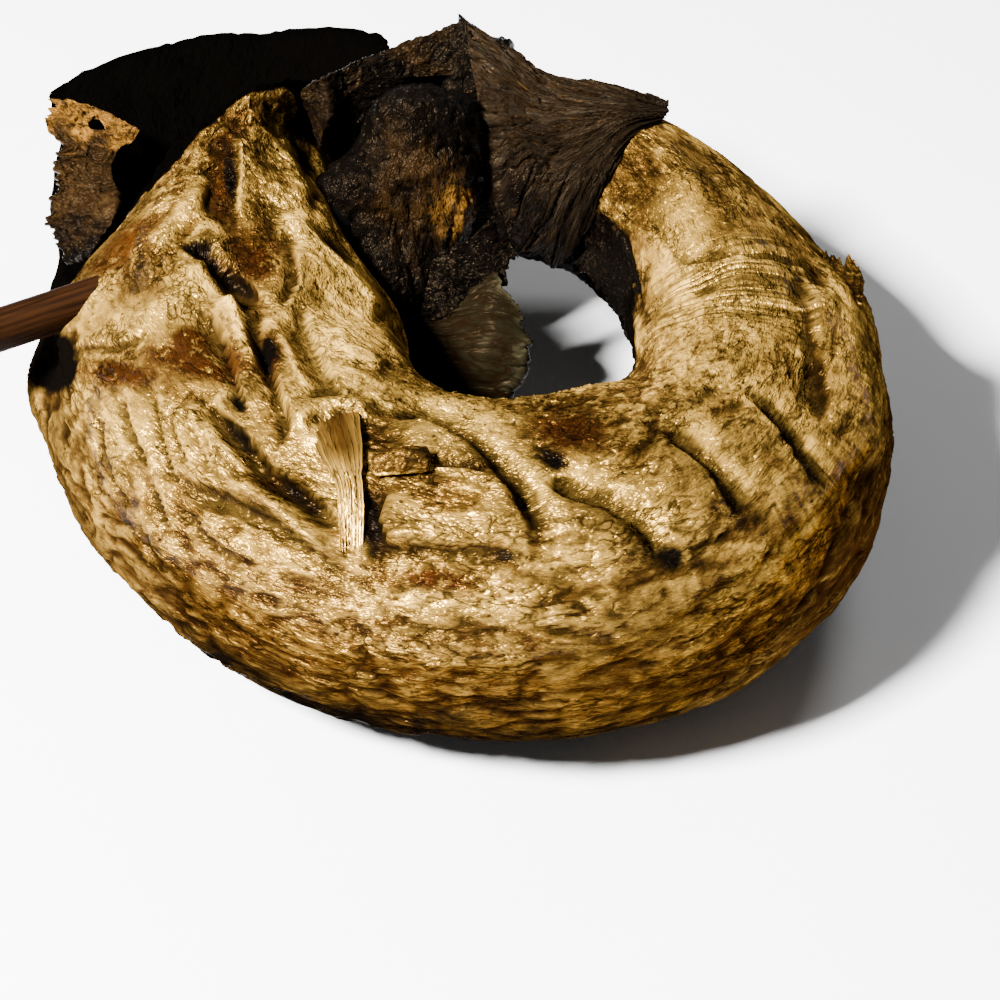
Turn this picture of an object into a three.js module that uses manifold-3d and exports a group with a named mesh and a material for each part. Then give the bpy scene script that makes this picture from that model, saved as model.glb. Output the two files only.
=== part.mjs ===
// A whole smoked catfish, curled into a ring with its tail pinned to its head by a wooden skewer.
// It lies on its back: the throat and the gaping lower jaw face up, and the skull is underneath.
// Millimetres, +Z up. The ring lies on the floor plane z = 0, with the head on the -X side.
import * as THREE from "three";
import { mergeVertices } from "three/addons/utils/BufferGeometryUtils.js";
import Module from "manifold-3d";

const wasm = await Module();
wasm.setup();

// Driving dimensions
const bodyWide = 35; // half width of the thickest section, across the ring
const bodyTall = 30; // half height of the thickest section
const headWide = 37; // half width of the head over the cheeks
const lipLean = 29; // how far the lower lip is drawn back, and the upper lip pushed forward
const foldDepth = 1.6; // depth of the folds across the flank
const finThick = 1.5; // half thickness of the fins
const skewerRadius = 4.3;
const skewerGap = 0.3; // play round the skewer, so that the two solids stay apart
const aroundBody = 44; // facets round a section
const rowsPerStation = 4;

const up = new THREE.Vector3(0, 0, 1);
const { clamp, radToDeg } = THREE.MathUtils;
const vector = (p) => new THREE.Vector3(...p);
const bump = (distance, reach) => Math.exp(-((distance / reach) ** 2));

// The backbone in plan, from the snout round the ring to the tail
const spine = new THREE.CatmullRomCurve3(
  [
    [-58, 100, 0],
    [-60, 60, 0],
    [-56, 17, 0],
    [-45, -25, 0],
    [-19, -53, 0],
    [15, -58, 0],
    [43, -41, 0],
    [54, -8, 0],
    [46, 36, 0],
    [27, 58, 0],
    [6, 61, 0],
    [-6, 50, 0],
    [-9, 38, 0],
  ].map(vector),
  false,
  "centripetal",
);
const fishLength = spine.getLength();

// Sections along the fish. at: distance from the snout; wide, tall: half sizes; lift: height of the middle;
// lean: how far the top is drawn back and the bottom pushed forward; pinch: how much narrower the top is;
// gape: how fully the corner of the mouth is pulled open here; tuck: how far the inner cheek is hollowed.
const stations = [
  { at: 72, wide: 0, tall: 0, lift: 37, lean: 0, pinch: 0, gape: 0, tuck: 0 },
  { at: 64, wide: 16, tall: 5, lift: 39, lean: 8, pinch: 0.2, gape: 0.1, tuck: 2 },
  { at: 50, wide: headWide - 9, tall: 7, lift: 42, lean: 16, pinch: 0.3, gape: 0.4, tuck: 5 },
  { at: 34, wide: headWide - 4, tall: 7, lift: 48, lean: 24, pinch: 0.35, gape: 0.8, tuck: 4 },
  { at: 26, wide: headWide - 2, tall: 8, lift: 50, lean: lipLean, pinch: 0.36, gape: 1, tuck: 3 },
  { at: 29, wide: headWide, tall: 20, lift: 41, lean: lipLean - 2, pinch: 0.36, gape: 1, tuck: 4 },
  { at: 44, wide: headWide - 1, tall: 25, lift: 35, lean: lipLean - 11, pinch: 0.28, gape: 0.75, tuck: 8 },
  { at: 66, wide: headWide - 2, tall: 27, lift: 31, lean: 7, pinch: 0.16, gape: 0.3, tuck: 4 },
  { at: 90, wide: headWide, tall: 27, lift: 28, lean: 0, pinch: 0.08, gape: 0, tuck: 0 },
  { at: 116, wide: headWide, tall: 28, lift: 28, lean: 0, pinch: 0.05, gape: 0, tuck: 0 },
  { at: 142, wide: bodyWide + 1, tall: bodyTall - 1, lift: 29, lean: 0, pinch: 0, gape: 0, tuck: 0 },
  { at: 166, wide: bodyWide, tall: bodyTall, lift: 29.5, lean: 0, pinch: 0, gape: 0, tuck: 0 },
  { at: 190, wide: bodyWide, tall: bodyTall, lift: 29.5, lean: 0, pinch: 0, gape: 0, tuck: 0 },
  { at: 214, wide: bodyWide, tall: bodyTall, lift: 29, lean: 0, pinch: 0, gape: 0, tuck: 0 },
  { at: 238, wide: bodyWide - 3, tall: bodyTall - 1, lift: 28.5, lean: 0, pinch: 0, gape: 0, tuck: 0 },
  { at: 262, wide: bodyWide - 6, tall: bodyTall - 2, lift: 28, lean: 0, pinch: 0, gape: 0, tuck: 0 },
  { at: 290, wide: bodyWide - 11, tall: bodyTall - 3, lift: 27, lean: 0, pinch: 0, gape: 0, tuck: 0 },
  { at: 322, wide: bodyWide - 17, tall: bodyTall - 6, lift: 28, lean: 0, pinch: 0, gape: 0, tuck: 0 },
  { at: 350, wide: bodyWide - 20, tall: bodyTall - 8, lift: 32, lean: 0, pinch: 0, gape: 0, tuck: 0 },
  { at: 370, wide: bodyWide - 21, tall: bodyTall - 9, lift: 36, lean: 0, pinch: 0, gape: 0, tuck: 0 },
  { at: 384, wide: bodyWide - 23, tall: bodyTall - 12, lift: 37, lean: 0, pinch: 0, gape: 0, tuck: 0 },
  { at: 392, wide: 0, tall: 0, lift: 36, lean: 0, pinch: 0, gape: 0, tuck: 0 },
];
const lipStation = 5; // the stations before this one line the mouth

// Lumps and hollows of the skin. at, angle: their middle, along the fish and round the section;
// along, round: their reach in millimetres and degrees; rise: height, or depth below zero.
const lumps = [
  { at: 72, angle: 98, along: 14, round: 6, rise: -3 },
  { at: 105, angle: 99, along: 9, round: 7, rise: -4 },
  { at: 100, angle: 121, along: 7, round: 10, rise: 2.5 },
  { at: 152, angle: 104, along: 8, round: 10, rise: 2 },
  { at: 104, angle: 14, along: 10, round: 12, rise: -4 },
  { at: 153, angle: 42, along: 18, round: 5, rise: -2 },
  { at: 184, angle: 56, along: 13, round: 12, rise: 2.5 },
  { at: 268, angle: 60, along: 26, round: 6, rise: -2 },
  { at: 326, angle: 20, along: 22, round: 22, rise: 2 },
];
const foldPlaces = [193, 206, 223, 238, 254]; // where the flank buckles into folds
const foldAngle = 60;

// Height of the skin's relief
function relief(at, degrees) {
  const swelling = lumps.map((l) => l.rise * bump(at - l.at, l.along) * bump(degrees - l.angle, l.round));
  const folds = foldPlaces.map((p) => foldDepth * (bump(at - p - 7, 5) - bump(at - p, 4)));
  const sum = (list) => list.reduce((total, height) => total + height, 0);
  return sum(swelling) + bump(degrees - foldAngle, 27) * sum(folds);
}

// Value of one station column part-way between two stations, without kinks
function smoothBetween(key, place) {
  const i = Math.min(Math.floor(place), stations.length - 2);
  const f = place - i;
  const near = [i - 1, i, i + 1, i + 2].map((k) => stations[clamp(k, 0, stations.length - 1)][key]);
  const [before, start, end, after] = near;
  const leave = (end - before) / 2;
  const arrive = (after - start) / 2;
  const bend = 3 * (end - start) - 2 * leave - arrive;
  const turn = leave + arrive - 2 * (end - start);
  return start + f * (leave + f * (bend + f * turn));
}

// A point of the skin: place counts stations, angle runs round the section from the outer side over the top
function bodyPoint(place, angle) {
  const value = (key) => smoothBetween(key, place);
  const along = clamp(value("at") / fishLength, 0, 1);
  const centre = spine.getPointAt(along);
  const tangent = spine.getTangentAt(along);
  const outward = new THREE.Vector3().crossVectors(tangent, up).normalize();
  const c = Math.cos(angle);
  const s = Math.sin(angle);
  const degrees = radToDeg(angle > 1.5 * Math.PI ? angle - 2 * Math.PI : angle);
  const gape = value("gape");
  const corner = gape * bump(degrees - 10, degrees < 10 ? 35 : 58);
  const rise = 8 * gape * bump(degrees - 135, 38) - 20 * gape * bump(degrees - 20, 52);
  const tuck = value("tuck") * bump(degrees - 165, 50) - 6 * gape * bump(degrees - 10, 25);
  const width = Math.max(0, value("wide")) * (1 - value("pinch") * Math.max(0, s));
  const height = Math.max(0, value("tall"));
  const skin = place > lipStation ? relief(value("at"), degrees) : 0;
  return centre
    .addScaledVector(outward, (width + skin) * c + tuck)
    .addScaledVector(up, value("lift") + (height + skin) * s + rise)
    .addScaledVector(tangent, value("lean") * s + 44 * corner);
}

function loftBody() {
  const rows = (stations.length - 1) * rowsPerStation;
  const geometry = new THREE.SphereGeometry(1, aroundBody, rows);
  const position = geometry.getAttribute("position");
  for (let row = 0; row <= rows; row++) {
    for (let col = 0; col <= aroundBody; col++) {
      const turn = (col % aroundBody) / aroundBody;
      const p = bodyPoint(row / rowsPerStation, turn * 2 * Math.PI);
      position.setXYZ(row * (aroundBody + 1) + col, p.x, p.y, p.z);
    }
  }
  return geometry;
}

// A strip of fin or skin along a path. face: the way its flat side looks; widths: half widths along it;
// thick: half thickness in the middle; blunt: how squarely its ends close
function strip({ path, widths, thick, face, blunt = 5, rows = 16, around = 10 }) {
  const curve = new THREE.CatmullRomCurve3(path.map(vector));
  const geometry = new THREE.SphereGeometry(1, around, rows);
  const position = geometry.getAttribute("position");
  for (let row = 0; row <= rows; row++) {
    const t = row / rows;
    const close = Math.sqrt(1 - Math.abs(2 * t - 1) ** blunt);
    const step = t * (widths.length - 1);
    const i = Math.min(Math.floor(step), widths.length - 2);
    const half = close * (widths[i] + (widths[i + 1] - widths[i]) * (step - i));
    const tangent = curve.getTangentAt(t);
    const side = new THREE.Vector3().crossVectors(tangent, vector(face)).normalize();
    const flat = new THREE.Vector3().crossVectors(side, tangent);
    for (let col = 0; col <= around; col++) {
      const angle = ((col % around) / around) * 2 * Math.PI;
      const p = curve
        .getPointAt(t)
        .addScaledVector(side, half * Math.cos(angle))
        .addScaledVector(flat, close * thick * Math.sin(angle));
      position.setXYZ(row * (around + 1) + col, p.x, p.y, p.z);
    }
  }
  return geometry;
}

const strips = [
  // Burnt web of skin between the lower jaw and the tail
  {
    path: [
      [-46, 41, 60],
      [-27, 55, 58],
      [-5, 71, 64],
    ],
    widths: [4, 5, 8],
    thick: finThick,
    face: [0, -0.7, 0.7],
  },
  // Peak of that web
  {
    path: [
      [-5, 72, 69],
      [0, 64, 56],
      [5, 54, 34],
    ],
    widths: [1, 7, 12, 15, 16],
    thick: 7,
    face: [0, -0.8, 0.6],
  },
  // End of the tail, rounded against the head
  {
    path: [
      [-5, 50, 62],
      [-8, 47, 44],
      [-14, 39, 22],
    ],
    widths: [17, 18, 18, 14, 8],
    thick: 12,
    face: [0, -1, 0.3],
    blunt: 2,
    around: 18,
  },
  // Shreds of flesh between the tail and its fin
  {
    path: [
      [-12, 36, 38],
      [-14, 30, 27],
      [-14, 23, 15],
    ],
    widths: [7, 5, 3],
    thick: 4,
    face: [0, -1, 0.3],
  },
  // Tail fin
  {
    path: [
      [-13, 32, 26],
      [-5, 23, 18],
      [4, 15, 13],
    ],
    widths: [5, 11, 14, 13, 9],
    thick: finThick,
    face: [0.25, -0.65, 0.7],
  },
  // Fin behind the gill, lying on the belly
  {
    path: [
      [-27, -42, 58],
      [-25, -58, 60],
      [-22.5, -69, 57.5],
      [-22.5, -80, 50.5],
    ],
    widths: [6, 6, 5, 3.5, 3],
    thick: finThick,
    face: [-0.15, -0.3, 0.93],
  },
  // Stub of the fin's spine
  {
    path: [
      [-21, -61, 58.5],
      [-14, -62, 60],
      [-7, -64, 60],
    ],
    widths: [4, 4, 4],
    thick: finThick,
    face: [0, -0.2, 1],
  },
  // Torn tip of the fin along the outer side
  {
    path: [
      [61, 0, 47],
      [70, 14, 43],
      [75, 25, 37],
    ],
    widths: [3, 6, 5],
    thick: finThick,
    face: [0.6, 0.2, 0.75],
  },
  // Fin along the inner side, hanging into the ring
  {
    path: [
      [12, 45, 27],
      [23, 34, 25],
      [31, 12, 23],
      [31, -6, 22],
    ],
    widths: [4, 6, 7, 5, 3],
    thick: finThick,
    face: [0.3, 0.3, 0.9],
  },
];

function solidOf(geometry) {
  const bare = geometry.clone();
  bare.deleteAttribute("normal");
  bare.deleteAttribute("uv");
  const merged = mergeVertices(bare, 1e-3);
  return new wasm.Manifold(
    new wasm.Mesh({
      numProp: 3,
      vertProperties: merged.getAttribute("position").array,
      triVerts: new Uint32Array(merged.index.array),
    }),
  );
}

function geometryOf(solid) {
  const mesh = solid.getMesh();
  return new THREE.BufferGeometry()
    .setAttribute("position", new THREE.BufferAttribute(mesh.vertProperties, 3))
    .setIndex(new THREE.BufferAttribute(mesh.triVerts, 1));
}

function rod(start, end, radius) {
  const axis = new THREE.Vector3().subVectors(end, start);
  const geometry = new THREE.CylinderGeometry(radius, radius, axis.length(), 20);
  geometry.applyQuaternion(new THREE.Quaternion().setFromUnitVectors(vector([0, 1, 0]), axis.normalize()));
  const middle = new THREE.Vector3().addVectors(start, end).multiplyScalar(0.5);
  return geometry.translate(middle.x, middle.y, middle.z);
}

// The skewer runs from outside the left cheek through the head into the tail
const skewerStart = vector([-110, -16, 46]);
const skewerEnd = vector([-6, 50, 40]);
const holeEnd = skewerEnd.clone().add(vector([1, 0.5, 0]));
const skewerHole = solidOf(rod(skewerStart, holeEnd, skewerRadius + skewerGap));
const belowFloor = solidOf(new THREE.BoxGeometry(400, 400, 20).translate(0, 0, -10));
const flesh = strips.reduce((whole, piece) => whole.add(solidOf(strip(piece))), solidOf(loftBody()));

const smokedSkin = new THREE.MeshStandardMaterial({ color: 0xa9793a, roughness: 0.5, metalness: 0 });
const smokedWood = new THREE.MeshStandardMaterial({ color: 0x5a3522, roughness: 0.7, metalness: 0 });

const smokedFish = new THREE.Group();
const fish = new THREE.Mesh(geometryOf(flesh.subtract(skewerHole).subtract(belowFloor)), smokedSkin);
fish.name = "fish";
const skewer = new THREE.Mesh(rod(skewerStart, skewerEnd, skewerRadius), smokedWood);
skewer.name = "skewer";
smokedFish.add(fish, skewer);

// The origin sits under the middle of the whole thing
const extent = new THREE.Box3().setFromObject(smokedFish, true);
const middle = extent.getCenter(new THREE.Vector3());
smokedFish.position.set(-middle.x, -middle.y, -extent.min.z);

export default smokedFish;
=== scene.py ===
import math

import bpy
import numpy as np
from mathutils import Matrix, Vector


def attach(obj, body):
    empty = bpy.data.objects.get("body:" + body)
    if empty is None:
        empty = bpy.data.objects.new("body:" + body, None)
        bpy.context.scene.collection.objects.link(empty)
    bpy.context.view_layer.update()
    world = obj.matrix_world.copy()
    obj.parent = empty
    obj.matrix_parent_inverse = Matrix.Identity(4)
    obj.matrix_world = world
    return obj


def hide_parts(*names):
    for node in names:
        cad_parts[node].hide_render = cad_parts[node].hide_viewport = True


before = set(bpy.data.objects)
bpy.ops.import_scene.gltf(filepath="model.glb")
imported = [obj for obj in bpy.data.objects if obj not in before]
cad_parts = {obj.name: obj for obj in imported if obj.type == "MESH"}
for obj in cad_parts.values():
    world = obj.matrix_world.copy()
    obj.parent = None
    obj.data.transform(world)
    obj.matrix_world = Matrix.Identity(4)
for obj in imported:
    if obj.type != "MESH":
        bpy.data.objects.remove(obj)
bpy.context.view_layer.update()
print("frame loaded")

# The fish is shaped in millimetres from the middle of its ring and written in metres in the part's frame
ringMiddle = np.array([15.237, -4.842, 0.0])
upward = np.array([0.0, 0.0, 1.0])

# Camera, in millimetres of the part's frame; places in the picture count thousandths of its side
view = {
    "location": (19.308, -482.617, 423.953), "target": (19.308, -21.867, 9.092),
    "lens": 109.66, "sensor": 36, "distance": 620, "side": 1000,
}


def bump(distance, reach):
    return np.exp(-((distance / reach) ** 2))


def ease(low, high, value):
    t = np.clip((value - low) / (high - low), 0, 1)
    return t * t * (3 - 2 * t)


def unit(vectors):
    return vectors / np.maximum(np.linalg.norm(vectors, axis=-1, keepdims=True), 1e-9)


def viewAxes():
    ahead = unit(np.array(view["target"]) - np.array(view["location"]))
    right = unit(np.cross(ahead, upward))
    return ahead, right, np.cross(right, ahead), view["lens"] / view["sensor"] * view["side"]


# Where points of the part show in the picture and how squarely they face it
def seenAt(points, normals):
    ahead, right, over, scale = viewAxes()
    away = points + ringMiddle - np.array(view["location"])
    depth, middle = away @ ahead, view["side"] / 2
    seen = np.stack([middle + scale * (away @ right) / depth, middle - scale * (away @ over) / depth], -1)
    return seen, -(unit(away) * normals).sum(-1)


# Points from where they show in the picture and how far back they lie
def fromPicture(places):
    places = np.array(places, float)
    ahead, right, over, scale = viewAxes()
    middle = view["side"] / 2
    x, y, back = ((places[..., k] - shift)[..., None] for k, shift in enumerate((middle, middle, 0)))
    line = ahead + right * x / scale - over * y / scale
    start = np.array(view["location"]) - ringMiddle
    return start + line * (back - start[1]) / line[..., 1:2]


# A smooth curve through posts, as points close together and their distances from its start
def curveThrough(posts):
    posts = np.array(posts, float)
    if posts.shape[1] == 2:
        posts = np.column_stack([posts, np.zeros(len(posts))])
    ends = np.vstack([2 * posts[0] - posts[1], posts, 2 * posts[-1] - posts[-2]])
    f = np.linspace(0, 1, 60, endpoint=False)[:, None]
    parts = []
    for i in range(1, len(ends) - 2):
        a, b, c, d = ends[i - 1 : i + 3]
        ab, bc, cd = (np.linalg.norm(q - p) ** 0.5 for p, q in ((a, b), (b, c), (c, d)))
        leave = ((b - a) / ab - (c - a) / (ab + bc) + (c - b) / bc) * bc
        arrive = ((c - b) / bc - (d - b) / (bc + cd) + (d - c) / cd) * bc
        bend, turn = 3 * (c - b) - 2 * leave - arrive, 2 * (b - c) + leave + arrive
        parts.append(b + f * (leave + f * (bend + f * turn)))
    points = np.vstack(parts + [posts[-1:]])
    steps = np.linalg.norm(np.diff(points, axis=0), axis=1)
    return points, np.concatenate([[0], np.cumsum(steps)])


# Rows of a table part-way between its rows, without kinks
def between(table, place):
    last = len(table) - 1
    i = np.clip(place.astype(int), 0, last - 1)
    f = (place - i).reshape(-1, *[1] * (table.ndim - 1))
    before, start, end, after = (table[np.clip(i + k, 0, last)] for k in (-1, 0, 1, 2))
    leave, arrive = (end - before) / 2, (after - start) / 2
    bend, turn = 3 * (end - start) - 2 * leave - arrive, leave + arrive - 2 * (end - start)
    return start + f * (leave + f * (bend + f * turn))


# A fine grid through a coarse one
def refine(coarse, rows, columns):
    tall = between(coarse, np.linspace(0, len(coarse) - 1, rows))
    wide = between(np.swapaxes(tall, 0, 1), np.linspace(0, coarse.shape[1] - 1, columns))
    return np.swapaxes(wide, 0, 1)


def alongCurve(curve, at):
    points, lengths = curve
    place = np.stack([np.interp(at, lengths, points[:, k]) for k in range(3)], -1)
    slope = np.gradient(points, lengths, axis=0)
    return place, unit(np.stack([np.interp(at, lengths, slope[:, k]) for k in range(3)], -1))


# Rows across a path: its middle, the way to the side, the way its flat side looks, half width, place from 0 to 1
def ribbon(path, widths, face, rows):
    curve = curveThrough(path)
    t = np.linspace(0, 1, rows)
    centre, ahead = alongCurve(curve, t * curve[1][-1])
    side = unit(np.cross(ahead, np.array(face, float)))
    half = np.interp(t, np.linspace(0, 1, len(widths)), widths)
    return centre[:, None], side[:, None], np.cross(side, ahead)[:, None], half, t


def writeField(mesh, key, values):
    vector = values.ndim == 2
    layer = mesh.attributes.new(key, "FLOAT_VECTOR" if vector else "FLOAT", "POINT")
    layer.data.foreach_set("vector" if vector else "value", values.astype(np.float32).ravel())


def readField(piece, key):
    values = np.empty(len(piece.data.vertices), np.float32)
    piece.data.attributes[key].data.foreach_get("value", values)
    return values


def meshObject(name, points, faces, fields=None):
    mesh = bpy.data.meshes.new(name)
    mesh.from_pydata(((points + ringMiddle) / 1000).tolist(), [], faces)
    mesh.polygons.foreach_set("use_smooth", np.ones(len(mesh.polygons), bool))
    for key, values in (fields or {}).items():
        writeField(mesh, key, values)
    piece = bpy.data.objects.new(name, mesh)
    bpy.context.scene.collection.objects.link(piece)
    return piece


# A closed skin over rows of points; the first and last row meet in one point each
def closedTube(points):
    rows, columns = points.shape[:2]
    index = 1 + np.arange((rows - 2) * columns).reshape(rows - 2, columns)
    ahead = np.roll(index, -1, 1)
    quads = np.stack([index[:-1], index[1:], ahead[1:], ahead[:-1]], -1).reshape(-1, 4)
    last = (rows - 2) * columns + 1
    caps = [(0, int(a), int(b)) for a, b in zip(index[0], ahead[0])]
    caps += [(last, int(b), int(a)) for a, b in zip(index[-1], ahead[-1])]
    flat = closedRows(points)
    a, b, c, d = (flat[quads[:, k]] - flat.mean(0) for k in range(4))
    faces = quads.tolist() + caps
    outward = (np.cross(b - a, d - a) * (a + c)).sum() > 0
    return flat, faces if outward else [face[::-1] for face in faces]


def closedRows(values):
    rest = values.shape[2:]
    return np.concatenate([values[0, :1], values[1:-1].reshape(-1, *rest), values[-1, :1]])


def meshPoints(piece):
    points = np.empty(len(piece.data.vertices) * 3, np.float32)
    piece.data.vertices.foreach_get("co", points)
    normals = np.empty_like(points)
    piece.data.vertices.foreach_get("normal", normals)
    return points.reshape(-1, 3).astype(float) * 1000 - ringMiddle, normals.reshape(-1, 3).astype(float)


fieldNames = ("charAndShade", "stain", "paleAndHighlight", "paintedShade", "crease", "lengthwise", "striate", "crumbly", "even")


# Writes the fields that the skin's relief and colour read; a missing one is 0
def setFields(piece, fields):
    points, _ = meshPoints(piece)
    for key in fieldNames:
        writeField(piece.data, key, np.broadcast_to(fields.get(key, 0.0), len(points)))
    writeField(piece.data, "fishPlace", np.broadcast_to(fields.get("fishPlace", points), points.shape))


# Replaces an object's mesh by what its modifiers make of it
def settle(piece):
    graph = bpy.context.evaluated_depsgraph_get()
    made = bpy.data.meshes.new_from_object(piece.evaluated_get(graph), depsgraph=graph)
    old = piece.data
    piece.modifiers.clear()
    piece.data = made
    made.name = old.name + ".made"
    bpy.data.meshes.remove(old)


def dress(piece, node, material):
    piece.data.materials.clear()
    piece.data.materials.append(material)
    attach(piece, "root")
    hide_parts(node)


# Builds nodes in one tree; inputs are sockets or plain values
class Nodes:
    def __init__(self, tree):
        self.tree = tree

    def feed(self, socket, value):
        if isinstance(value, bpy.types.NodeSocket):
            self.tree.links.new(value, socket)
        else:
            socket.default_value = value

    def add(self, kind, inputs=None, **settings):
        node = self.tree.nodes.new(kind)
        for key, value in settings.items():
            setattr(node, key, value)
        for key, value in (inputs or {}).items():
            self.feed(node.inputs[key], value)
        return node

    def calc(self, operation, *values):
        return self.add("ShaderNodeMath", dict(enumerate(values)), operation=operation).outputs[0]

    def times(self, a, b):
        return self.calc("MULTIPLY", a, b)

    def timesPlus(self, a, b, c):
        return self.calc("MULTIPLY_ADD", a, b, c)

    def minus(self, a, b):
        return self.calc("SUBTRACT", a, b)

    def most(self, a, b):
        return self.calc("MAXIMUM", a, b)

    def ease(self, value, low, high, toLow=0.0, toHigh=1.0):
        inputs = {"Value": value, "From Min": low, "From Max": high, "To Min": toLow, "To Max": toHigh}
        return self.add("ShaderNodeMapRange", inputs, interpolation_type="SMOOTHSTEP").outputs[0]

    def vector(self, operation, inputs):
        return self.add("ShaderNodeVectorMath", inputs, operation=operation).outputs

    def scaled(self, vector, factor):
        return self.vector("MULTIPLY", {0: vector, 1: factor})[0]

    def millimetres(self, way, length):
        return self.vector("SCALE", {0: way, "Scale": self.times(length, 0.001)})[0]

    def field(self, key, kind="FLOAT"):
        return self.add("GeometryNodeInputNamedAttribute", {"Name": key}, data_type=kind).outputs[0]

    def noise(self, vector, factor, detail, rough=0.5, bend=0.0):
        inputs = {"Vector": self.scaled(vector, factor), "Scale": 1.0, "Detail": detail}
        return self.add("ShaderNodeTexNoise", {**inputs, "Roughness": rough, "Distortion": bend}).outputs[0]

    def warped(self, place, scale, detail, reach):
        drift = self.add("ShaderNodeTexNoise", {"Vector": place, "Scale": scale, "Detail": detail})
        return self.vector("MULTIPLY_ADD", {0: drift.outputs["Color"], 1: (reach,) * 3, 2: place})[0]

    # Sharp valleys where a noise passes its middle
    def folds(self, value):
        return self.calc("ABSOLUTE", self.timesPlus(value, 2.0, -1.0))

    def cellEdges(self, vector, factor):
        inputs = {"Vector": self.scaled(vector, factor), "Scale": 1.0, "Randomness": 1.0}
        return self.add("ShaderNodeTexVoronoi", inputs, feature="DISTANCE_TO_EDGE").outputs["Distance"]

    # Crumpled plates, each tilted its own way
    def plates(self, vector, factor):
        placed = self.scaled(vector, factor)
        cell = self.add("ShaderNodeTexVoronoi", {"Vector": placed, "Scale": 1.0, "Randomness": 1.0}).outputs
        away = self.vector("SUBTRACT", {0: placed, 1: cell["Position"]})[0]
        tilt = self.vector("SUBTRACT", {0: cell["Color"], 1: (0.5, 0.5, 0.5)})[0]
        return self.vector("DOT_PRODUCT", {0: away, 1: tilt})["Value"]

    def mix(self, factor, a, b):
        node = self.add("ShaderNodeMix", data_type="RGBA")
        for key, value in (("Factor_Float", factor), ("A_Color", a), ("B_Color", b)):
            socket = next(s for s in node.inputs if s.identifier == key)
            self.feed(socket, (*value, 1.0) if isinstance(value, tuple) else value)
        return next(s for s in node.outputs if s.identifier == "Result_Color")


def newGroup(name, floats):
    tree = bpy.data.node_groups.new(name, "GeometryNodeTree")
    tree.interface.new_socket("Geometry", in_out="INPUT", socket_type="NodeSocketGeometry")
    for key, value in floats.items():
        socket = tree.interface.new_socket(key, in_out="INPUT", socket_type="NodeSocketFloat")
        socket.default_value = value
    tree.interface.new_socket("Geometry", in_out="OUTPUT", socket_type="NodeSocketGeometry")
    return Nodes(tree), tree.nodes.new("NodeGroupInput").outputs


# Ends a group: keeps how much painted shade lies in the hollows, and moves the points
def endGroup(n, given, hollows, offset):
    stored = {"Geometry": given["Geometry"], "Name": "crease", "Value": hollows}
    kept = n.add("GeometryNodeStoreNamedAttribute", stored, data_type="FLOAT", domain="POINT")
    moved = n.add("GeometryNodeSetPosition", {"Geometry": kept.outputs[0], "Offset": offset})
    n.add("NodeGroupOutput", {0: moved.outputs[0]})
    return n.tree


def runGroup(piece, tree, values):
    modifier = piece.modifiers.new(tree.name, "NODES")
    modifier.node_group = tree
    for item in tree.interface.items_tree:
        if item.in_out == "INPUT" and item.name in values:
            modifier[item.identifier] = values[item.name]
    settle(piece)


def newMaterial(name):
    material = bpy.data.materials.new(name)
    material.use_nodes = True
    return material, Nodes(material.node_tree), material.node_tree.nodes["Principled BSDF"].inputs


# Wrinkles of the dried skin, in the fish's own straightened place: lengthwise wrinkles, a net of long cells,
# tilted plates, fine creases, striations across, a crumbly crust and low lumps
def makeSkinRelief():
    depths = {
        "Wrinkles": 0.6, "Cells": 0.15, "Plates": 0.9, "Fine": 0.1, "Striae": 0.35, "Crust": 3.0, "Lumps": 2.6,
    }
    n, given = newGroup("skinRelief", depths)
    place = n.field("fishPlace", "FLOAT_VECTOR")
    warped = n.warped(place, 0.09, 2.0, 14)

    def furrows(value, wide):
        return n.ease(n.folds(value), 0.0, wide, 1.0, 0.0)

    plain = n.minus(1.0, n.field("even"))
    patchy = n.ease(n.noise(place, (0.04, 0.06, 0.06), 1.0), 0.36, 0.6)
    strength = n.timesPlus(n.field("lengthwise"), 0.75, 0.25)
    wrinkles = n.times(furrows(n.noise(warped, (0.07, 0.13, 0.13), 1.4), 0.2), strength)
    cells = n.times(n.ease(n.cellEdges(warped, (0.15, 0.27, 0.27)), 0.0, 0.13, 1.0, 0.0), patchy)
    fine = furrows(n.noise(warped, (0.2, 0.42, 0.42), 2.0), 0.22)
    striae = n.times(furrows(n.noise(place, (0.5, 0.02, 0.02), 1.0), 0.25), n.field("striate"))
    crust = n.times(n.minus(n.noise(warped, (0.3, 0.3, 0.3), 5.0, 0.65), 0.5), n.field("crumbly"))
    lumps = n.minus(n.noise(place, (0.05, 0.08, 0.08), 0.6), 0.5)
    plates = n.times(n.plates(warped, (0.13, 0.22, 0.22)), plain)

    height = n.times(lumps, given["Lumps"])
    height = n.timesPlus(crust, given["Crust"], height)
    height = n.timesPlus(plates, given["Plates"], height)
    # Painted shade gathers in the hollows of the wrinkles, cells, fine creases and striations
    hollows = n.field("crease")
    for depth, hollow, dark in (
        ("Wrinkles", n.times(wrinkles, plain), 0.6), ("Cells", n.times(cells, plain), 0.6),
        ("Fine", n.times(fine, plain), 0.4), ("Striae", striae, 0.6),
    ):
        height = n.minus(height, n.times(hollow, given[depth]))
        hollows = n.most(hollows, n.times(hollow, dark))
    normal = n.add("GeometryNodeInputNormal").outputs[0]
    return endGroup(n, given, hollows, n.millimetres(normal, height))


skinRelief = makeSkinRelief()
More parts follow.
